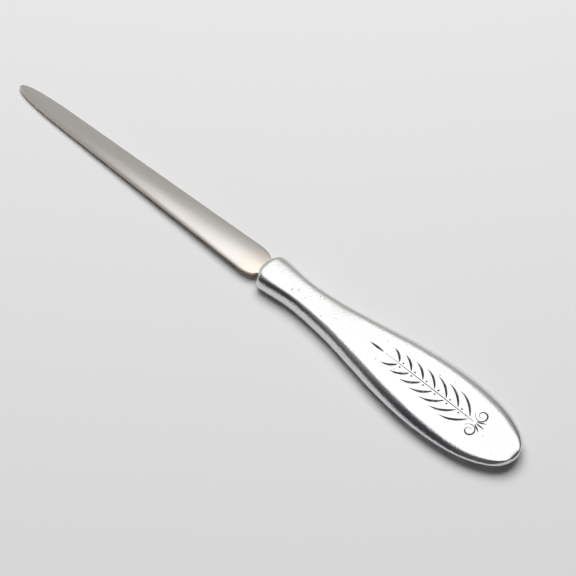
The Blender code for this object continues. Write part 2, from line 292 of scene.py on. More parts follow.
class OrnamentSizes(bpy.types.PropertyGroup):
    """Sizes of the engraved spray of leaves."""

    from_butt: length("Place", "Base of the stem, measured from the butt", 0.0165)
    stem: length("Stem", "Length of the stem", 0.0345)
    stem_width: length("Stem width", "Width of the stem's cut", 0.00034)
    pairs: IntProperty(name="Leaf pairs", description="Pairs of leaves on the stem", default=7, min=2, max=12)
    first_leaf: length("First leaf", "Length of the leaves nearest the butt", 0.0082)
    last_leaf: length("Last leaf", "Length of the leaves nearest the neck", 0.0048)
    leaf_width: length("Leaf width", "Widest cut of a leaf", 0.00092)
    berry: length("Berry", "Diameter of a berry's cut", 0.00062)
    scroll: length("Scroll", "Radius of the scrolls at the base", 0.0024)
    depth_share: share("Depth share", "Depth of a cut, as a share of half its width", 0.55)


class BladeSizes(bpy.types.PropertyGroup):
    """Sizes of the blade and its tang."""

    thickness: length("Thickness", "Thickness of the strip", 0.0015)
    crown: length("Crown", "How far the faces' edges lie below their middle", 0.0003)
    edge_radius: length("Edge radius", "Rounding of the edges", 0.00022)
    shoulder_width: length("Shoulder width", "Width at the shoulders", 0.01075)
    shoulder_length: length("Shoulder length", "Length of the rounded shoulders", 0.0055)
    shoulder_from_nose: length("Shoulder gap", "From the nose to the shoulders", 0.0005)
    end_width: length("End width", "Width where the point starts to round off", 0.00665)
    point: length("Point", "Length of the rounded point", 0.021)
    point_roundness: share("Point roundness", "Exponent of the point's outline", 2.5)
    tip_width: length("Tip width", "Blunt width of the tip", 0.0005)
    mid_height_share: share("Middle height", "Height of the blade's middle in the nose, as a share", 0.40)
    tang_length: length("Tang length", "Length inside the handle", 0.038)
    tang_width: length("Tang width", "Width at the nose", 0.0060)
    tang_end_width: length("Tang end width", "Width at the end", 0.0040)
    key_hole: length("Key hole", "Diameter of the tang's holes", 0.0024)
    fit_gap: length("Fit gap", "Clearance of the resin on both sides", 0.0003)
    overrun: length("Overrun", "How far cuts reach past what they cut", 0.002)


class Finishes(bpy.types.PropertyGroup):
    """Colours of the finishes."""

    pewter: colour("Pewter", "Polished pewter", (0.86, 0.86, 0.855))
    pewter_dull: colour("Dull pewter", "Less polished patches", (0.84, 0.84, 0.835))
    patina: colour("Patina", "Darkened metal in cuts and pits", (0.085, 0.085, 0.09))
    steel: colour("Steel", "Satin steel", (0.80, 0.775, 0.745))
    steel_dull: colour("Dull steel", "Smudged patches of the steel", (0.755, 0.73, 0.70))
    # Painted shade: the blade's side walls are coloured darker and browner than its faces
    steel_edge_shade: colour("Steel edge", "Sheared edges, left rougher and browner", (0.60, 0.475, 0.37))
    # Painted reflection: a warm tint painted on the blade next to the handle
    steel_warm_reflection: colour("Steel heat tint", "Straw tint of the shoulders", (0.90, 0.77, 0.63))
    resin: colour("Resin", "Cured resin", (0.16, 0.13, 0.10))


class StageSettings(bpy.types.PropertyGroup):
    """The camera, the lamps and the floor."""

    camera_turn: degrees("Camera turn", "From +X towards +Y", 132.587)
    camera_height: degrees("Camera height", "Above the floor", 55.937)
    camera_distance: length("Camera distance", "From the camera to its target", 0.68685)
    camera_target: FloatVectorProperty(
        name="Camera target", description="Where it looks", default=(-0.01354, -0.00093, 0), subtype="XYZ"
    )
    lens: FloatProperty(name="Lens", description="Focal length in millimetres", default=138.775)
    lamp_height: length("Lamp height", "Height of the mirrored lamp above the floor", 0.266)
    lamp_turn: degrees("Lamp turn", "Against the camera's own turn", 5.7)
    lamp_far: length("Lamp far edge", "How far it reaches past the object", 0.212)
    lamp_near: length("Lamp near edge", "How far it reaches towards the camera", 0.190)
    lamp_left: length("Lamp left edge", "How far it reaches to the camera's left", 0.085)
    lamp_right: length("Lamp right edge", "How far it reaches to the camera's right", 0.179)
    lamp_fade: length("Lamp fade", "Width of its fading edge", 0.085)
    lamp_strength: FloatProperty(name="Lamp strength", description="Radiance in the metal", default=1.25)
    fill_height: length("Fill height", "Height of the lamp that lights the floor", 1.30)
    fill_size: length("Fill size", "Width of that lamp", 1.45)
    fill_far: length("Fill far", "How far it hangs past the object", 0.66)
    fill_power: FloatProperty(name="Fill power", description="Watts", default=25.0, unit="POWER")
    room_right: share("Room on the right", "Share of its light that stays on the camera's right", 0.15)
    room_window: share("Room window", "What the bright part past the object on the left adds", 0.40)
    room_behind: colour("Room behind", "The room's colour behind the camera", (0.085, 0.088, 0.094))
    room_low: colour("Low room", "The room's colour low down, lit by the pale table", (0.50, 0.495, 0.485))
    room_glow: share("Room glow", "Share of the room's light that reaches dull surfaces", 0.35)
    backdrop: colour("Backdrop", "What the camera sees past the floor's edge", (0.75, 0.75, 0.76))
    floor: colour("Floor", "Colour of the floor", (0.80, 0.80, 0.80))


class LetterOpener(bpy.types.PropertyGroup):
    """All settings of the letter opener."""

    handle: PointerProperty(type=HandleSizes)
    ornament: PointerProperty(type=OrnamentSizes)
    blade: PointerProperty(type=BladeSizes)
    finishes: PointerProperty(type=Finishes)
    stage: PointerProperty(type=StageSettings)


# Plain helpers


def eased(part):
    """A smooth step from 0 to 1, flat at both ends."""
    part = min(max(part, 0), 1)
    return (1 - math.cos(math.pi * part)) / 2


def between(start, end, part):
    """The value that lies that share of the way from start to end."""
    return start + (end - start) * part


def rounded_off(part, roundness):
    """Height of a superellipse's quarter, from 0 at 0 to 1 at 1."""
    part = min(max(part, 0), 1)
    return (1 - (1 - part) ** roundness) ** (1 / roundness)


def start_clean():
    """Leaves edit mode and deselects everything."""
    if bpy.context.object and bpy.context.object.mode != "OBJECT":
        bpy.ops.object.mode_set(mode="OBJECT")
    bpy.ops.object.select_all(action="DESELECT")


def take_up(*things):
    """Selects these objects alone, the last one active."""
    start_clean()
    for thing in things:
        thing.select_set(True)
        bpy.context.view_layer.objects.active = thing


@contextmanager
def editing(thing):
    """Edit mode on one object."""
    take_up(thing)
    bpy.ops.object.mode_set(mode="EDIT")
    yield
    bpy.ops.object.mode_set(mode="OBJECT")


def choose(thing, test):
    """Selects the vertices whose place passes a test, in edit mode."""
    mesh = bmesh.from_edit_mesh(thing.data)
    for vertex in mesh.verts:
        vertex.select_set(test(vertex.co))
    mesh.select_mode = {"VERT"}
    mesh.select_flush_mode()
    mesh.select_flush(True)
    bmesh.update_edit_mesh(thing.data)


def scale_chosen(across, up, centre):
    """Scales the chosen vertices across and upwards about a place."""
    bpy.ops.transform.resize(value=(1, across, up), center_override=centre)


def lift_chosen(height):
    """Raises the chosen vertices."""
    bpy.ops.transform.translate(value=(0, 0, height))


def near(value, place):
    """Whether two places are the same."""
    return abs(value - place) < SAME_PLACE


def add_block(name, low, high):
    """A box between two corners, with its place in its mesh."""
    start_clean()
    low, high = Vector(low), Vector(high)
    bpy.ops.mesh.primitive_cube_add(size=1, location=(low + high) / 2, scale=high - low)
    block = bpy.context.object
    block.name = block.data.name = name
    bpy.ops.object.transform_apply(location=True, rotation=True, scale=True)
    return block


def slice_block(places, normal):
    """Cuts new edge loops round the block in edit mode, at these places along one axis."""
    for place in places:
        bpy.ops.mesh.select_all(action="SELECT")
        bpy.ops.mesh.bisect(plane_co=Vector(normal) * place, plane_no=normal)


def apply_modifiers(thing):
    """Applies the object's modifiers in order."""
    take_up(thing)
    for modifier in list(thing.modifiers):
        bpy.ops.object.modifier_apply(modifier=modifier.name)


def smooth(thing):
    """Shades the round stretches smooth and keeps the sharp edges."""
    take_up(thing)
    bpy.ops.object.shade_smooth_by_angle(angle=SMOOTH_ANGLE)


def cut_away(target, cutter, takes_finish=False):
    """Cuts the cutter's shape out of the target and deletes the cutter."""
    modifier = target.modifiers.new(cutter.name, "BOOLEAN")
    modifier.operation = "DIFFERENCE"
    modifier.solver = "EXACT"
    modifier.object = cutter
    modifier.material_mode = "TRANSFER" if takes_finish else "INDEX"
    apply_modifiers(target)
    bpy.data.objects.remove(cutter)


def settings():
    """The letter opener's settings in this scene."""
    return bpy.context.scene.letter_opener


def nose_place():
    """Where the handle's nose ends along X."""
    return HANDLE_LOW.x + settings().handle.length


# The handle's form


def neck_place(sizes):
    """Where the neck is, measured from the butt."""
    return sizes.length - sizes.neck_from_nose


def handle_half_width(sizes, along):
    """Half of the handle's width, at a distance from the butt."""
    neck = neck_place(sizes)
    flare = sizes.length - sizes.nose_rounding
    if along <= sizes.belly_from_butt:
        return sizes.belly_width / 2 * rounded_off(along / sizes.belly_from_butt, sizes.butt_roundness)
    if along <= neck:
        return between(sizes.belly_width, sizes.neck_width, waist_share(sizes, along)) / 2
    if along <= flare:
        return between(sizes.neck_width, sizes.nose_width, eased((along - neck) / (flare - neck))) / 2
    nose_part = (sizes.length - along) / sizes.nose_rounding
    return sizes.nose_width / 2 * rounded_off(nose_part, sizes.nose_roundness)


def waist_share(sizes, along):
    """How far the form has changed from the belly's, 0, to the neck's, 1."""
    neck = neck_place(sizes)
    return eased((along - sizes.belly_from_butt) / (neck - sizes.belly_from_butt))


def rest_stretch(sizes):
    """Where the flat stretch that touches the table starts and ends, measured from the butt."""
    neck = neck_place(sizes)
    return [between(sizes.belly_from_butt, neck, part) for part in (REST_START_SHARE, REST_END_SHARE)]


def handle_top(sizes, along):
    """Height of the handle's top: an arch over the belly, a shallow dip at the neck, a rise to the nose."""
    dip = sizes.length - sizes.dip_from_nose
    if along <= sizes.crest_from_butt:
        return between(sizes.crest, sizes.butt_top, (1 - along / sizes.crest_from_butt) ** 2)
    if along <= dip:
        part = (along - sizes.crest_from_butt) / (dip - sizes.crest_from_butt)
        return between(sizes.crest, sizes.dip, eased(part))
    return between(sizes.dip, sizes.nose_top, eased((along - dip) / sizes.dip_from_nose))


def sole_height(sizes, along):
    """Height of the handle's underside, which lies flat on the table and rises towards both ends."""
    start, end = rest_stretch(sizes)
    if along < start:
        return sizes.butt_clearance * (1 - along / start) ** 2
    if along > end:
        return sizes.nose_clearance * ((along - end) / (sizes.length - end)) ** 2
    return 0


def sole_rise_share(sizes, along):
    """How far the underside's outer row is lifted. The lift fades out before the flat stretch."""
    start, _ = rest_stretch(sizes)
    return SOLE_RISE_SHARE * (1 - eased((along - sizes.belly_from_butt) / (start - sizes.belly_from_butt)))


def end_heights(sizes, along, kept_share):
    """Underside and top height of an end ring, drawn in towards their middle."""
    sole, top = sole_height(sizes, along), handle_top(sizes, along)
    inset = (top - sole) * (1 - kept_share) / 2
    return sole + inset, top - inset


def handle_stations(sizes):
    """Where the handle's rings lie, without its two ends."""
    neck = neck_place(sizes)
    flare = sizes.length - sizes.nose_rounding
    rest_start, rest_end = rest_stretch(sizes)
    zones = (
        (0, sizes.belly_from_butt, BUTT_STATION_SHARES),
        (sizes.belly_from_butt, rest_start, BELLY_STATION_SHARES),
        (rest_start, rest_end, REST_STATION_SHARES),
        (rest_end, neck, NECK_STATION_SHARES),
        (neck, flare, FLARE_STATION_SHARES),
        (flare, sizes.length, NOSE_STATION_SHARES),
    )
    return [between(start, end, part) for start, end, shares in zones for part in shares]


def cage_values(wanted, first, last):
    """Cage values whose smoothed curve runs through the wanted ones, between two given ends.
    Subdivision draws each value in to four sixths of itself and a sixth of each neighbour."""
    count = len(wanted)
    own_weight, neighbour_weight = 4 / 6, 1 / 6
    matrix = own_weight * np.eye(count)
    matrix += neighbour_weight * (np.eye(count, k=1) + np.eye(count, k=-1))
    target = np.array(wanted)
    target[0] -= first * neighbour_weight
    target[-1] -= last * neighbour_weight
    return [first, *np.linalg.solve(matrix, target), last]


def handle_rings(sizes):
    """Station, place, half width, underside and top height of the handle's cage rings, from the butt on."""
    stations = handle_stations(sizes)
    pull = 6 / (4 + SHOULDER_SPREAD_SHARE + SOLE_SPREAD_SHARE)
    widths = [handle_half_width(sizes, along) * pull for along in stations]
    butt_sole, butt_top = end_heights(sizes, 0, sizes.butt_end_height)
    nose_sole, nose_top = end_heights(sizes, sizes.length, sizes.nose_end_height)
    alongs = cage_values(stations, 0, sizes.length)
    half_widths = cage_values(widths, widths[0] * sizes.butt_end_share, widths[-1] * sizes.nose_end_share)
    soles = [butt_sole, *(sole_height(sizes, along) for along in stations), nose_sole]
    tops = cage_values([handle_top(sizes, along) for along in stations], butt_top, nose_top)
    return list(zip([0, *stations, sizes.length], alongs, half_widths, soles, tops))


def shape_ring(block, sizes, ring, block_half, block_top):
    """Gives one ring of the sliced block the handle's section at its place. The rows are moved first, in
    shares of the thickness. Then the ring is drawn in to its width and thickness and lifted to its height."""
    station, along, half_width, sole, top = ring
    x = HANDLE_LOW.x + along
    waist = waist_share(sizes, station)
    edge = between(BELLY_EDGE_HEIGHT_SHARE, NECK_EDGE_HEIGHT_SHARE, waist)
    shoulder = between(edge, 1, between(BELLY_SHOULDER_HEIGHT_SHARE, NECK_SHOULDER_HEIGHT_SHARE, waist))
    rows = (
        (block_top / 2, 0, edge - 1 / 2),
        (block_top, SHOULDER_SPREAD_SHARE, shoulder - 1),
        (0, SOLE_SPREAD_SHARE, sole_rise_share(sizes, station)),
    )
    for level, least_share, lift in rows:
        least_side = block_half * least_share - SAME_PLACE
        choose(block, lambda co: near(co.x, x) and near(co.z, level) and abs(co.y) > least_side)
        lift_chosen(lift * block_top)
    choose(block, lambda co: near(co.x, x))
    scale_chosen(half_width / block_half, (top - sole) / block_top, (x, 0, 0))
    lift_chosen(HANDLE_LOW.z + sole)


def cast_handle(sizes):
    """A block sliced into rings and rows, shaped ring by ring and smoothed."""
    block_half, block_top = sizes.belly_width / 2, sizes.crest
    high = (HANDLE_LOW.x + sizes.length, block_half, block_top)
    handle = add_block("handle_casting", (HANDLE_LOW.x, -block_half, 0), high)
    rings = handle_rings(sizes)
    inner = block_half * TOP_FLAT_SHARE
    with editing(handle):
        slice_block([HANDLE_LOW.x + along for _, along, *_ in rings[1:-1]], (1, 0, 0))
        slice_block((-inner, 0, inner), (0, 1, 0))
        slice_block([block_top / 2], (0, 0, 1))
        for level, spread in ((block_top, SHOULDER_SPREAD_SHARE), (0, SOLE_SPREAD_SHARE)):
            choose(handle, lambda co: near(co.z, level) and near(abs(co.y), block_half))
            scale_chosen(spread, 1, (0, 0, level))
        choose(handle, lambda co: near(co.z, 0) and near(abs(co.y), inner))
        scale_chosen(SOLE_FLAT_SHARE / TOP_FLAT_SHARE, 1, (0, 0, 0))
        for ring in rings:
            shape_ring(handle, sizes, ring, block_half, block_top)
    smoothing = handle.modifiers.new("smooth_casting", "SUBSURF")
    smoothing.levels = smoothing.render_levels = sizes.levels
    apply_modifiers(handle)
    return handle


# The tang's pocket and the resin in it


def tang_bar(name, blade, low_x, high_x, margin, corner):
    """A bar with rounded corners that follows the tang at that margin, leaning with the blade."""
    half_height = blade.thickness / 2 + margin
    half_width = blade.tang_width / 2
    bar = add_block(name, (low_x, -half_width, -half_height), (high_x, half_width, half_height))
    with editing(bar):
        for x in (low_x, high_x):
            part = (nose_place() - x) / blade.tang_length
            half = between(blade.tang_width, blade.tang_end_width, part) / 2 + margin
            choose(bar, lambda co: near(co.x, x))
            scale_chosen(half / half_width, 1, (x, 0, 0))
            lift_chosen(mid_height(blade, x))
    rounding = bar.modifiers.new("round_corners", "BEVEL")
    rounding.width = corner
    rounding.segments = 5
    apply_modifiers(bar)
    return bar


def make_pocket(blade):
    """The tang's pocket, as wide as the resin with its clearance, tapering inwards."""
    margin = BED_HIGH.y - blade.tang_width / 2 + blade.fit_gap
    low_x, high_x = BED_LOW.x - blade.fit_gap, nose_place() + blade.overrun
    return tang_bar("tang_pocket", blade, low_x, high_x, margin, margin * POCKET_CORNER_SHARE)


def fill_resin(blade):
    """The resin round the tang: a bar that narrows inwards, less the tang's space."""
    margin = BED_HIGH.y - blade.tang_width / 2
    resin = tang_bar("resin_bed", blade, BED_LOW.x, BED_HIGH.x, margin, margin * RESIN_CORNER_SHARE)
    gap = blade.fit_gap
    space = tang_bar("tang_space", blade, BLADE_LOW.x - gap, BED_HIGH.x + blade.overrun, gap, gap)
    cut_away(resin, space)
    return resin


# The engraved spray


def engraver_profile(depth_share):
    """The section of a cut: a V below the surface and a low ridge above it, for curves to follow."""
    bpy.ops.curve.primitive_nurbs_path_add()
    profile = bpy.context.object
    profile.name = "graver_profile"
    profile.data.dimensions = "2D"
    profile.data.splines.clear()
    spline = profile.data.splines.new("POLY")
    spline.points.add(3)
    for point, (across, up) in zip(spline.points, ((-1, 0), (0, -depth_share), (1, 0), (0, depth_share))):
        point.co = (across, up, 0, 1)
    spline.use_cyclic_u = True
    return profile


def surface_height(handle, x, y):
    """Height of the handle's top at a place."""
    found, place, _, _ = handle.ray_cast(Vector((x, y, CAD_HIGH.z * 2)), Vector((0, 0, -1)))
    if not found:
        raise RuntimeError("a cut of the spray lies off the handle")
    return place.z


def swollen(half_width, swelling):
    """Half widths along a stroke."""
    return [half_width * part for part in swelling]


def leaf_strokes(ornament):
    """Centre lines and half widths of the leaves, in pairs along the stem, and of the last leaf."""
    strokes = []
    half = ornament.leaf_width / 2
    step = (ornament.stem - ornament.last_leaf / 2) / ornament.pairs
    root = ornament.stem_width * LEAF_ROOT
    for number in range(ornament.pairs):
        size = between(ornament.first_leaf, ornament.last_leaf, number / (ornament.pairs - 1))
        along = step * (number + LEAF_START)
        for side in (1, -1):
            points = [(along + size * a, side * (root + size * b)) for a, b in LEAF_LINE]
            strokes.append((points, swollen(half, LEAF_SWELLING)))
    tip = ornament.stem + ornament.stem_width * END_LEAF_START
    points = [(tip + ornament.last_leaf * END_LEAF_LENGTH * part, 0) for part in END_LEAF_LINE]
    strokes.append((points, swollen(half, END_LEAF_SWELLING)))
    return strokes


def stem_strokes(ornament):
    """The stem, and a fan of small cuts behind its base."""
    half = ornament.stem_width / 2
    strokes = [([(ornament.stem * part, 0) for part in STEM_LINE], swollen(half, STEM_SWELLING))]
    reach = ornament.scroll * FAN_REACH
    for direction in FAN_DIRECTIONS:
        turn = math.radians(direction)
        line = [(part * reach * math.cos(turn), part * reach * math.sin(turn)) for part in FAN_LINE]
        strokes.append((line, swollen(half, FAN_SWELLING)))
    return strokes


def scroll_strokes(ornament):
    """Two spiral scrolls that leave the stem's base and curl outwards."""
    strokes = []
    half = ornament.stem_width / 2
    for side in (1, -1):
        points, widths = [], []
        for step in range(SCROLL_STEPS + 1):
            part = step / SCROLL_STEPS
            radius = ornament.scroll * (1 - SCROLL_NARROWING * part)
            turn = SCROLL_START + math.tau * SCROLL_TURNS * part
            along = -ornament.scroll * SCROLL_BACK - radius * math.sin(turn) * SCROLL_FLATTENING
            across = ornament.scroll * SCROLL_SIDE - radius * math.cos(turn)
            points.append((along, side * across))
            rise = math.sin(math.pi * min(1, part * SCROLL_SWELLING_SPEED)) ** 2
            widths.append(half * (SCROLL_LEAST_WIDTH + SCROLL_SWELLING * rise))
        strokes.append((points, widths))
    return strokes


def berry_places(ornament):
    """Where the berries lie, one each side of the stem before each pair of leaves but the first."""
    step = (ornament.stem - ornament.last_leaf / 2) / ornament.pairs
    places = []
    for number in range(1, ornament.pairs):
        along = step * (number + BERRY_START)
        places.extend((along, side * ornament.berry * BERRY_ROOT) for side in (1, -1))
    return places


def make_spray_cutter(handle, ornament):
    """All cuts of the spray as one closed cutter that follows the handle's top."""
    base_x = HANDLE_LOW.x + ornament.from_butt
    profile = engraver_profile(ornament.depth_share)
    start_clean()
    bpy.ops.curve.primitive_nurbs_path_add(location=(0, 0, 0))
    strokes = bpy.context.object
    strokes.name = "spray_cutter"
    strokes.data.splines.clear()
    strokes.data.bevel_mode = "OBJECT"
    strokes.data.bevel_object = profile
    strokes.data.use_fill_caps = True
    strokes.data.twist_mode = "Z_UP"
    for points, widths in leaf_strokes(ornament) + stem_strokes(ornament) + scroll_strokes(ornament):
        spline = strokes.data.splines.new("NURBS")
        spline.points.add(len(points) - 1)
        spline.order_u = 4
        spline.use_endpoint_u = True
        spline.resolution_u = 5
        for point, (along, across), width in zip(spline.points, points, widths):
            x = base_x + along
            point.co = (x, across, surface_height(handle, x, across), 1)
            point.radius = width
    take_up(strokes)
    bpy.ops.object.convert(target="MESH")
    cutter = bpy.context.object
    bpy.data.objects.remove(profile)
    berries = []
    for along, across in berry_places(ornament):
        x = base_x + along
        place = (x, across, surface_height(handle, x, across))
        bpy.ops.mesh.primitive_uv_sphere_add(
            segments=12, ring_count=8, radius=ornament.berry / 2, location=place
        )
        berry = bpy.context.object
        berry.scale.z = ornament.depth_share
        berries.append(berry)
    take_up(*berries, cutter)
    bpy.ops.object.join()
    bpy.ops.object.transform_apply(location=True, rotation=True, scale=True)
    with editing(cutter):
        bpy.ops.mesh.select_all(action="SELECT")
        bpy.ops.mesh.remove_doubles(threshold=SAME_PLACE)
        bpy.ops.mesh.normals_make_consistent(inside=False)
    return cutter


# The blade's form


def mid_height(sizes, x):
    """Height of the blade's middle plane. From the nose it comes down to the table at the tip."""
    handle = settings().handle
    nose_height = between(handle.nose_clearance, handle.nose_top, sizes.mid_height_share)
    return between(sizes.thickness / 2, nose_height, (BLADE_HIGH.x - x) / (BLADE_HIGH.x - nose_place()))


def blade_half_width(sizes, x):
    """Half of the straight taper's width, from the shoulders to the tip."""
    shoulder_x = nose_place() + sizes.shoulder_from_nose + sizes.shoulder_length
    part = (shoulder_x - x) / (shoulder_x - (BLADE_HIGH.x - sizes.point))
    return between(sizes.shoulder_width, sizes.end_width, part) / 2


def blade_stations(sizes):
    """Place and half width of the blade's sections, from the tip to the tang's end."""
    nose_x = nose_place()
    shoulder_x = nose_x + sizes.shoulder_from_nose + sizes.shoulder_length
    point_x = BLADE_HIGH.x - sizes.point
    stations = [(BLADE_HIGH.x, sizes.tip_width / 2)]
    for step in range(1, POINT_STEPS + 1):
        angle = math.pi / 2 * step / POINT_STEPS
        x = BLADE_HIGH.x - sizes.point * (1 - max(math.cos(angle), 0) ** (2 / sizes.point_roundness))
        stations.append((x, blade_half_width(sizes, x) * math.sin(angle) ** (2 / sizes.point_roundness)))
    for step in range(1, TAPER_STEPS):
        x = between(point_x, shoulder_x, step / TAPER_STEPS)
        stations.append((x, blade_half_width(sizes, x)))
    for step in range(SHOULDER_STEPS + 1):
        angle = math.pi / 2 * step / SHOULDER_STEPS
        half = between(sizes.tang_width, sizes.shoulder_width, math.cos(angle)) / 2
        stations.append((shoulder_x - sizes.shoulder_length * math.sin(angle), half))
    stations.append((nose_x, sizes.tang_width / 2))
    stations.append((nose_x - sizes.tang_length, sizes.tang_end_width / 2))
    return stations


def stamp_blade(sizes):
    """A strip sliced across and along, drawn in section by section, crowned and edge-rounded."""
    half, thick = sizes.shoulder_width / 2, sizes.thickness / 2
    blade = add_block("blade_strip", (BLADE_LOW.x, -half, -thick), (BLADE_HIGH.x, half, thick))
    stations = blade_stations(sizes)
    rows = [side * half * part for part in FACE_ROW_SHARES for side in (1, -1)] + [0]
    with editing(blade):
        slice_block(sorted(rows), (0, 1, 0))
        slice_block([x for x, _ in stations[1:-1]], (1, 0, 0))
        for part in (*FACE_ROW_SHARES, 1):
            for level, way in ((thick, -1), (-thick, 1)):
                choose(blade, lambda co: near(co.z, level) and near(abs(co.y), half * part))
                lift_chosen(way * sizes.crown * part**2)
        for x, half_width in stations:
            choose(blade, lambda co: near(co.x, x))
            scale_chosen(half_width / half, 1, (x, 0, 0))
            lift_chosen(mid_height(sizes, x))
    rounding = blade.modifiers.new("round_edges", "BEVEL")
    rounding.width = sizes.edge_radius
    rounding.segments = 4
    rounding.limit_method = "ANGLE"
    rounding.angle_limit = math.radians(50)
    apply_modifiers(blade)
    return blade


def pierce_tang(blade, sizes):
    """The two keying holes in the tang."""
    nose_x = nose_place()
    lean = math.atan((mid_height(sizes, nose_x) - mid_height(sizes, BLADE_HIGH.x)) / (BLADE_HIGH.x - nose_x))
    for part in KEY_HOLE_PLACE_SHARES:
        start_clean()
        x = nose_x - sizes.tang_length * part
        bpy.ops.mesh.primitive_cylinder_add(
            vertices=32,
            radius=sizes.key_hole / 2,
            depth=sizes.thickness * 2,
            location=(x, 0, mid_height(sizes, x)),
            rotation=(0, lean, 0),
        )
        cut_away(blade, bpy.context.object)


# Finishes


def new_tree(name):
    """A new material with its node tree and its shader."""
    material = bpy.data.materials.new(name)
    material.use_nodes = True
    tree = material.node_tree
    return material, tree, tree.nodes["Principled BSDF"]


def add_node(tree, kind, **values):
    """A node with its options and plain inputs set. Names of inputs are written with underscores."""
    node = tree.nodes.new(kind)
    for name, value in values.items():
        if hasattr(node, name):
            setattr(node, name, value)
        else:
            node.inputs[name.replace("_", " ")].default_value = value
    return node


def feed(tree, socket, value):
    """Gives an input another node's output, a number or a colour."""
    if hasattr(value, "links"):
        tree.links.new(value, socket)
    elif isinstance(value, (int, float)):
        socket.default_value = value
    else:
        socket.default_value = (*value, 1)


def math_node(tree, operation, *values):
    """A Math node on sockets or numbers."""
    node = add_node(tree, "ShaderNodeMath", operation=operation)
    for socket, value in zip(node.inputs, values):
        feed(tree, socket, value)
    return node.outputs[0]


def times(tree, first, second):
    """The product of two sockets or numbers."""
    return math_node(tree, "MULTIPLY", first, second)


def ranged(tree, value, low, high, new_low, new_high, smooth_step=False):
    """A Map Range node from one span to another."""
    node = add_node(tree, "ShaderNodeMapRange")
    node.interpolation_type = "SMOOTHSTEP" if smooth_step else "LINEAR"
    for socket, number in zip(node.inputs, (value, low, high, new_low, new_high)):
        feed(tree, socket, number)
    return node.outputs["Result"]


def mixed(tree, part, first, second):
    """A colour between two colours or sockets."""
    node = add_node(tree, "ShaderNodeMix", data_type="RGBA")
    for number, value in ((0, part), (6, first), (7, second)):
        feed(tree, node.inputs[number], value)
    return node.outputs[2]


def own_place(tree):
    """Coordinates on the object itself."""
    return add_node(tree, "ShaderNodeTexCoord").outputs["Object"]


def axes_of(tree, vector):
    """A vector's three axes."""
    node = add_node(tree, "ShaderNodeSeparateXYZ")
    tree.links.new(vector, node.inputs[0])
    return node.outputs


def group_tree(name, inputs, outputs):
    """A shader node group with number inputs and outputs, and a Vector input."""
    tree = bpy.data.node_groups.new(name, "ShaderNodeTree")
    tree.interface.new_socket("Vector", in_out="INPUT", socket_type="NodeSocketVector")
    for labels, way in ((inputs, "INPUT"), (outputs, "OUTPUT")):
        for label in labels:
            tree.interface.new_socket(label, in_out=way, socket_type="NodeSocketFloat")
    return tree, tree.nodes.new("NodeGroupInput").outputs, tree.nodes.new("NodeGroupOutput").inputs


def place_group(tree, group, vector, **values):
    """A group node with its own values."""
    node = tree.nodes.new("ShaderNodeGroup")
    node.node_tree = group
    tree.links.new(vector, node.inputs["Vector"])
    for name, value in values.items():
        node.inputs[name.replace("_", " ")].default_value = value
    return node.outputs


def stretched(tree, vector, turn, stretch):
    """Coordinates turned about Z and stretched along X."""
    node = add_node(tree, "ShaderNodeMapping", vector_type="TEXTURE")
    node.inputs["Rotation"].default_value = (0, 0, turn)
    node.inputs["Scale"].default_value = (stretch, 1, 1)
    tree.links.new(vector, node.inputs["Vector"])
    return node.outputs["Vector"]


def textured(tree, kind, vector, scale, **values):
    """A texture node's outputs on those coordinates."""
    node = add_node(tree, kind, **values)
    tree.links.new(vector, node.inputs["Vector"])
    feed(tree, node.inputs["Scale"], scale)
    return node.outputs


def noise(tree, vector, scale, **values):
    """A noise texture's value on those coordinates."""
    return textured(tree, "ShaderNodeTexNoise", vector, scale, **values)["Fac"]


def handling_marks():
    """The group of fine scratches in three directions and soft smudges, as masks from 0 to 1, made once."""
    if "handling_marks" in bpy.data.node_groups:
        return bpy.data.node_groups["handling_marks"]
    scales = ("Scratch Scale", "Smudge Scale")
    tree, given, result = group_tree("handling_marks", scales, ("Scratches", "Smudges"))
    vector, scratch_scale, smudge_scale = given[0], given[1], given[2]
    total = None
    for turn, width in SCRATCHES:
        long = stretched(tree, vector, turn, SCRATCH_STRETCH)
        edges = textured(tree, "ShaderNodeTexVoronoi", long, scratch_scale, feature="DISTANCE_TO_EDGE")
        line = ranged(tree, edges["Distance"], 0, width, 1, 0)
        patches = noise(tree, long, smudge_scale, Detail=2)
        line = times(tree, line, ranged(tree, patches, 0.48, 0.62, 0, 1))
        total = line if total is None else math_node(tree, "MAXIMUM", total, line)
    tree.links.new(total, result["Scratches"])
    smudges = noise(tree, vector, smudge_scale, Detail=4)
    tree.links.new(ranged(tree, smudges, 0.35, 0.7, 0, 1, True), result["Smudges"])
    return tree


def raised(tree, value, *layers):
    """A value raised by masks, from pairs of a mask and what it adds."""
    for mask, added in layers:
        value = math_node(tree, "ADD", value, times(tree, mask, added))
    return value


def bumped(tree, *layers):
    """Bump nodes one over another, from pairs of a height from 0 to 1 and its size in metres."""
    normal = None
    for height, size in layers:
        node = add_node(tree, "ShaderNodeBump", Strength=1.0, Distance=size)
        tree.links.new(height, node.inputs["Height"])
        if normal is not None:
            tree.links.new(normal, node.inputs["Normal"])
        normal = node.outputs["Normal"]
    return normal


def dressed(material, shader, metallic, colours, rough, normal):
    """The material with its shader's inputs filled."""
    shader.inputs["Metallic"].default_value = metallic
    for name, socket in (("Base Color", colours), ("Roughness", rough), ("Normal", normal)):
        material.node_tree.links.new(socket, shader.inputs[name])
    return material


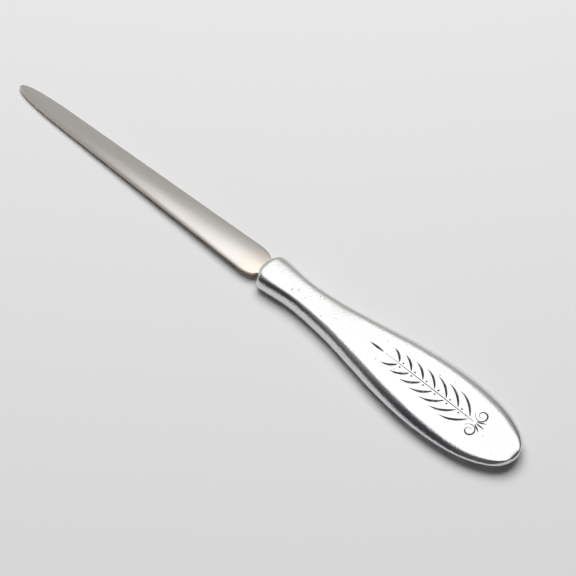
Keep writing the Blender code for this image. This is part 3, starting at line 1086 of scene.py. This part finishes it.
def pewter_finish(name, finishes):
    """Polished casting: slow waves from hand polishing, a few small pits, grain left on the sides, and
    painted shade that darkens the side-facing surfaces.
    """
    material, tree, shader = new_tree(name)
    place = own_place(tree)
    worn = place_group(tree, handling_marks(), place, Scratch_Scale=95.0, Smudge_Scale=160.0)
    grain = noise(tree, place, GRAIN_PER_METRE, Detail=3, Roughness=0.6)
    waves = noise(tree, place, WAVES_PER_METRE, Detail=1, Roughness=0.4)
    fine = noise(tree, place, FINE_GRAIN_PER_METRE, Detail=1)
    cells = textured(tree, "ShaderNodeTexVoronoi", place, PITS_PER_METRE, feature="F1", Randomness=1)
    chosen = add_node(tree, "ShaderNodeSeparateColor")
    tree.links.new(cells["Color"], chosen.inputs[0])
    reach = ranged(tree, chosen.outputs[0], 0.60, 1, 0, 0.16)
    pits = math_node(tree, "SUBTRACT", reach, cells["Distance"])
    pits = ranged(tree, pits, -0.02, 0.05, 0, 1, True)
    specks = ranged(tree, fine, 0.58, 0.80, 0, 1)
    facing = axes_of(tree, add_node(tree, "ShaderNodeNewGeometry").outputs["Normal"])
    # Surfaces that face sideways get grain bumps and painted shade: their colour is darkened towards the
    # patina colour by how far they tilt from facing up
    unpolished_shaded_sides = ranged(tree, facing["Z"], 0.45, 0.85, 1, 0)
    colours = mixed(tree, worn["Smudges"], finishes.pewter, finishes.pewter_dull)
    # The sides' share is painted shade; the pits' and specks' shares are patina
    for mask, patina in ((unpolished_shaded_sides, SIDE_PAINTED_SHADE), (pits, PIT_PATINA), (specks, SPECK_PATINA)):
        colours = mixed(tree, times(tree, mask, patina), colours, finishes.patina)
    rough = ranged(tree, worn["Smudges"], 0, 1, *PEWTER_ROUGHNESS)
    rough = raised(tree, rough, (worn["Scratches"], SCRATCH_ROUGHNESS), (pits, PIT_ROUGHNESS))
    normal = bumped(
        tree,
        (waves, WAVE_HEIGHT),
        (grain, GRAIN_HEIGHT),
        (times(tree, fine, unpolished_shaded_sides), SIDE_GRAIN_HEIGHT),
        (specks, SPECK_HEIGHT),
        (math_node(tree, "SUBTRACT", 1.0, pits), PIT_DEPTH),
    )
    return dressed(material, shader, 1, colours, rough, normal)


def patina_finish(name, finishes):
    """The darkened floor of the engraver's cuts, rubbed lighter here and there."""
    material, tree, shader = new_tree(name)
    place = own_place(tree)
    rubbed = ranged(tree, noise(tree, place, RUBBED_PER_METRE, Detail=3), 0.5, 0.75, 0, RUBBED_MOST)
    colours = mixed(tree, rubbed, finishes.patina, finishes.pewter_dull)
    rough = ranged(tree, rubbed, 0, RUBBED_MOST, *PATINA_ROUGHNESS)
    normal = bumped(tree, (noise(tree, place, CUT_GRAIN_PER_METRE, Detail=3), CUT_GRAIN_HEIGHT))
    return dressed(material, shader, 0.7, colours, rough, normal)


def steel_finish(name, finishes):
    """Satin steel, finely brushed and smudged a little, with painted shade on its side walls and a painted
    warm reflection near the handle.
    """
    material, tree, shader = new_tree(name)
    place = own_place(tree)
    worn = place_group(tree, handling_marks(), place, Scratch_Scale=150.0, Smudge_Scale=70.0)
    brushed = stretched(tree, place, 0, BRUSHED_STRETCH)
    lines = noise(tree, brushed, BRUSHED_PER_METRE, Detail=3, Roughness=0.7)
    bands = noise(tree, brushed, BANDS_PER_METRE, Detail=2)
    tone = times(tree, worn["Smudges"], ranged(tree, bands, 0.3, 0.7, 0, 1))
    colours = mixed(tree, tone, finishes.steel, finishes.steel_dull)
    # Painted reflection: the blade is tinted warm near the handle, fading out along it with a ragged end
    ragged = math_node(tree, "SUBTRACT", worn["Smudges"], 0.5)
    along = raised(tree, axes_of(tree, place)["X"], (ragged, WARM_REFLECTION_RAGGED))
    warm_reflection = ranged(tree, along, HANDLE_HIGH.x, HANDLE_HIGH.x + WARM_REFLECTION_REACH, WARM_REFLECTION_SHARE, 0, True)
    colours = mixed(tree, warm_reflection, colours, finishes.steel_warm_reflection)
    facing = axes_of(tree, add_node(tree, "ShaderNodeTexCoord").outputs["Normal"])
    # Painted shade: surfaces facing sideways, the blade's edges, take the darker brown colour; they are also
    # left rougher
    edge = ranged(tree, math_node(tree, "ABSOLUTE", facing["Z"]), 0.25, 0.7, 1, 0, True)
    colours = mixed(tree, edge, colours, finishes.steel_edge_shade)
    rough = ranged(tree, lines, 0.3, 0.7, *STEEL_ROUGHNESS)
    rough = raised(tree, rough, (worn["Smudges"], SMUDGE_ROUGHNESS), (edge, EDGE_ROUGHNESS))
    normal = bumped(tree, (lines, BRUSHED_HEIGHT), (worn["Scratches"], BRUSHED_HEIGHT))
    return dressed(material, shader, 1, colours, rough, normal)


def resin_finish(name, finishes):
    """Cured resin, slightly cloudy."""
    material, tree, shader = new_tree(name)
    cloud = noise(tree, own_place(tree), CLOUDS_PER_METRE, Detail=4)
    lighter = [min(1, value * 1.6) for value in finishes.resin]
    colours = mixed(tree, cloud, finishes.resin, lighter)
    rough = ranged(tree, cloud, 0, 1, *RESIN_ROUGHNESS)
    return dressed(material, shader, 0, colours, rough, bumped(tree, (cloud, CLOUD_HEIGHT)))


def coat(piece, name, build):
    """Gives a piece one finish, which is made the first time it is asked for."""
    piece.data.materials.clear()
    piece.data.materials.append(bpy.data.materials.get(name) or build(name, settings().finishes))


def hand_over(piece, slot, *nodes):
    """Says what body the piece rides on and hides the parts it stands for. The slot argument is not used."""
    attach(piece, "root")
    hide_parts(*nodes)


# Operators


class OPENER_OT_handle(bpy.types.Operator):
    """Casts the handle, opens the tang's pocket and engraves the spray of leaves"""

    bl_idname = "opener.handle"
    bl_label = "Handle"

    def execute(self, context):
        chosen = settings()
        handle = cast_handle(chosen.handle)
        coat(handle, "cast_pewter_finish", pewter_finish)
        spray = make_spray_cutter(handle, chosen.ornament)
        coat(spray, "dark_patina_finish", patina_finish)
        pocket = make_pocket(chosen.blade)
        coat(pocket, "cast_pewter_finish", pewter_finish)
        cut_away(handle, pocket)
        cut_away(handle, spray, takes_finish=True)
        smooth(handle)
        hand_over(handle, "cast_pewter", "handle")
        return {"FINISHED"}


class OPENER_OT_blade(bpy.types.Operator):
    """Stamps the blade with its tang and rounds its edges"""

    bl_idname = "opener.blade"
    bl_label = "Blade"

    def execute(self, context):
        sizes = settings().blade
        blade = stamp_blade(sizes)
        pierce_tang(blade, sizes)
        smooth(blade)
        coat(blade, "satin_steel_finish", steel_finish)
        hand_over(blade, "satin_steel", "blade")
        return {"FINISHED"}


class OPENER_OT_resin(bpy.types.Operator):
    """Fills the pocket round the tang with resin"""

    bl_idname = "opener.resin"
    bl_label = "Resin"

    def execute(self, context):
        resin = fill_resin(settings().blade)
        coat(resin, "cured_resin_finish", resin_finish)
        smooth(resin)
        hand_over(resin, "cured_epoxy", "tang_adhesive")
        return {"FINISHED"}


def camera_way(stage):
    """The direction from the target to the camera."""
    turn, height = stage.camera_turn, stage.camera_height
    level = math.cos(height)
    return Vector((level * math.cos(turn), level * math.sin(turn), math.sin(height)))


def stage_ways(stage, turn=0.0):
    """The level directions away from the camera and to its right, turned if asked."""
    angle = stage.camera_turn + turn
    far = Vector((-math.cos(angle), -math.sin(angle), 0))
    return far, Vector((far.y, -far.x, 0))


def set_camera(stage):
    """A camera at the photograph's angle."""
    start_clean()
    way = camera_way(stage)
    place = Vector(stage.camera_target) + way * stage.camera_distance
    bpy.ops.object.camera_add(location=place, rotation=way.to_track_quat("Z", "Y").to_euler())
    camera = bpy.context.object
    camera.data.lens = stage.lens
    camera.data.sensor_width = SENSOR_WIDTH
    camera.data.clip_start = CLIP_NEAR
    camera.data.clip_end = CLIP_FAR
    bpy.context.scene.camera = camera


def lay_floor(stage):
    """A wide pale floor that keeps the object's shadow."""
    start_clean()
    bpy.ops.mesh.primitive_plane_add(size=FLOOR_SIZE, location=(0, 0, CAD_LOW.z))
    floor = bpy.context.object
    floor.name = "floor"
    material, tree, shader = new_tree("floor_finish")
    darker = [value * FLOOR_PATCH_SHADE for value in stage.floor]
    mottle = noise(tree, own_place(tree), FLOOR_PATCHES_PER_METRE, Detail=2)
    tree.links.new(mixed(tree, mottle, darker, stage.floor), shader.inputs["Base Color"])
    shader.inputs["Roughness"].default_value = FLOOR_ROUGHNESS
    shader.inputs["Specular IOR Level"].default_value = FLOOR_SHINE
    floor.data.materials.append(material)


def hang_lamp(stage):
    """The soft lamp overhead as the metal mirrors it, fading at its edges."""
    start_clean()
    far, right = stage_ways(stage, stage.lamp_turn)
    depth = stage.lamp_far + stage.lamp_near
    width = stage.lamp_left + stage.lamp_right
    middle = far * (stage.lamp_far - stage.lamp_near) / 2 + right * (stage.lamp_right - stage.lamp_left) / 2
    middle.z = stage.lamp_height
    turn = math.atan2(far.y, far.x)
    bpy.ops.mesh.primitive_plane_add(size=1, location=middle, rotation=(0, 0, turn))
    lamp = bpy.context.object
    lamp.name = "soft_lamp"
    lamp.scale = (depth + stage.lamp_fade, width + stage.lamp_fade, 1)
    lamp.visible_camera = False
    lamp.visible_shadow = False
    lamp.visible_diffuse = False
    material = bpy.data.materials.new("soft_lamp_light")
    material.use_nodes = True
    tree = material.node_tree
    tree.nodes.clear()
    place = axes_of(tree, own_place(tree))
    covers = []
    for axis in (0, 1):
        inside = math_node(tree, "SUBTRACT", 0.5, math_node(tree, "ABSOLUTE", place[axis]))
        covers.append(ranged(tree, inside, 0, stage.lamp_fade / lamp.scale[axis], 0, 1, True))
    light = add_node(tree, "ShaderNodeEmission", Color=(1, 1, 1, 1), Strength=stage.lamp_strength)
    clear = add_node(tree, "ShaderNodeBsdfTransparent")
    choice = add_node(tree, "ShaderNodeMixShader")
    for socket, value in zip(choice.inputs, (times(tree, *covers), clear.outputs[0], light.outputs[0])):
        tree.links.new(value, socket)
    out = add_node(tree, "ShaderNodeOutputMaterial")
    tree.links.new(choice.outputs[0], out.inputs["Surface"])
    lamp.data.materials.append(material)


def set_fill(stage):
    """The wide lamp overhead that lights the floor and throws the shadow."""
    start_clean()
    place = stage_ways(stage)[0] * stage.fill_far
    place.z = stage.fill_height
    bpy.ops.object.light_add(type="AREA", location=place, rotation=(0, 0, stage.camera_turn))
    fill = bpy.context.object
    fill.name = "fill_lamp"
    fill.data.shape = "DISK"
    fill.data.size = stage.fill_size
    fill.data.energy = stage.fill_power
    fill.visible_glossy = False


def light_room(stage):
    """The room round the table: pale past the object and low down, dark behind the camera and on its right,
    with a bright part on the far left."""
    world = bpy.data.worlds.new("room")
    bpy.context.scene.world = world
    world.use_nodes = True
    tree = world.node_tree
    tree.nodes.clear()
    place = add_node(tree, "ShaderNodeTexCoord").outputs["Generated"]
    facing = []
    for way in stage_ways(stage):
        product = add_node(tree, "ShaderNodeVectorMath", operation="DOT_PRODUCT")
        tree.links.new(place, product.inputs[0])
        product.inputs[1].default_value = way
        facing.append(product.outputs["Value"])
    far, right = facing
    ramp = add_node(tree, "ShaderNodeValToRGB")
    tree.links.new(ranged(tree, far, -1, 1, 0, 1), ramp.inputs[0])
    set_ramp(ramp, ROOM_STOPS)
    kept = ranged(tree, right, *DIM_RIGHT_SPAN, 1, stage.room_right, True)
    room = mixed(tree, kept, (0, 0, 0), ramp.outputs[0])
    behind = ranged(tree, right, *BEHIND_SIDE_SPAN, 0, 1, True)
    behind = times(tree, behind, ranged(tree, far, *BEHIND_NEAR_SPAN, 0, 1, True))
    room = mixed(tree, behind, room, stage.room_behind)
    window = ranged(tree, right, *WINDOW_SIDE_SPAN, 0, stage.room_window, True)
    window = times(tree, window, ranged(tree, far, *WINDOW_FAR_SPAN, 0, 1, True))
    room = mixed(tree, window, room, (1, 1, 1))
    low = ranged(tree, axes_of(tree, place)["Z"], *LOW_SPAN, LOW_SHARE, 0, True)
    room = mixed(tree, low, room, stage.room_low)
    seen = add_node(tree, "ShaderNodeLightPath").outputs
    held_back = times(tree, seen["Is Diffuse Ray"], 1 - stage.room_glow)
    back = add_node(tree, "ShaderNodeBackground")
    tree.links.new(mixed(tree, seen["Is Camera Ray"], room, stage.backdrop), back.inputs["Color"])
    tree.links.new(math_node(tree, "SUBTRACT", 1.0, held_back), back.inputs["Strength"])
    out = add_node(tree, "ShaderNodeOutputWorld")
    tree.links.new(back.outputs[0], out.inputs["Surface"])


def set_ramp(node, stops):
    """Sets a colour ramp's stops."""
    elements = node.color_ramp.elements
    while len(elements) < len(stops):
        elements.new(1)
    for element, (position, value) in zip(elements, stops):
        element.position = position
        element.color = (*value, 1)


class OPENER_OT_stage(bpy.types.Operator):
    """Lays the floor and sets the lamps, the room and the camera"""

    bl_idname = "opener.stage"
    bl_label = "Stage"

    def execute(self, context):
        stage = settings().stage
        lay_floor(stage)
        hang_lamp(stage)
        set_fill(stage)
        light_room(stage)
        set_camera(stage)
        context.scene.view_settings.view_transform = "Standard"
        return {"FINISHED"}


class OPENER_PT_panel(bpy.types.Panel):
    """The letter opener's tools in the sidebar"""

    bl_idname = "OPENER_PT_panel"
    bl_label = "Letter Opener"
    bl_space_type = "VIEW_3D"
    bl_region_type = "UI"
    bl_category = "Letter Opener"

    def draw(self, context):
        for operator in OPERATORS:
            self.layout.operator(operator.bl_idname)


PROPERTY_GROUPS = (HandleSizes, OrnamentSizes, BladeSizes, Finishes, StageSettings, LetterOpener)
OPERATORS = (OPENER_OT_handle, OPENER_OT_blade, OPENER_OT_resin, OPENER_OT_stage)


def register():
    """Adds the settings, the operators and the panel to Blender."""
    for kind in (*PROPERTY_GROUPS, *OPERATORS, OPENER_PT_panel):
        bpy.utils.register_class(kind)
    bpy.types.Scene.letter_opener = PointerProperty(type=LetterOpener)


def unregister():
    """Removes them again."""
    del bpy.types.Scene.letter_opener
    for kind in reversed((*PROPERTY_GROUPS, *OPERATORS, OPENER_PT_panel)):
        bpy.utils.unregister_class(kind)


def main():
    """Builds the letter opener and its stage."""
    register()
    bpy.ops.opener.handle()
    bpy.ops.opener.blade()
    bpy.ops.opener.resin()
    bpy.ops.opener.stage()


if __name__ == "__main__":
    main()
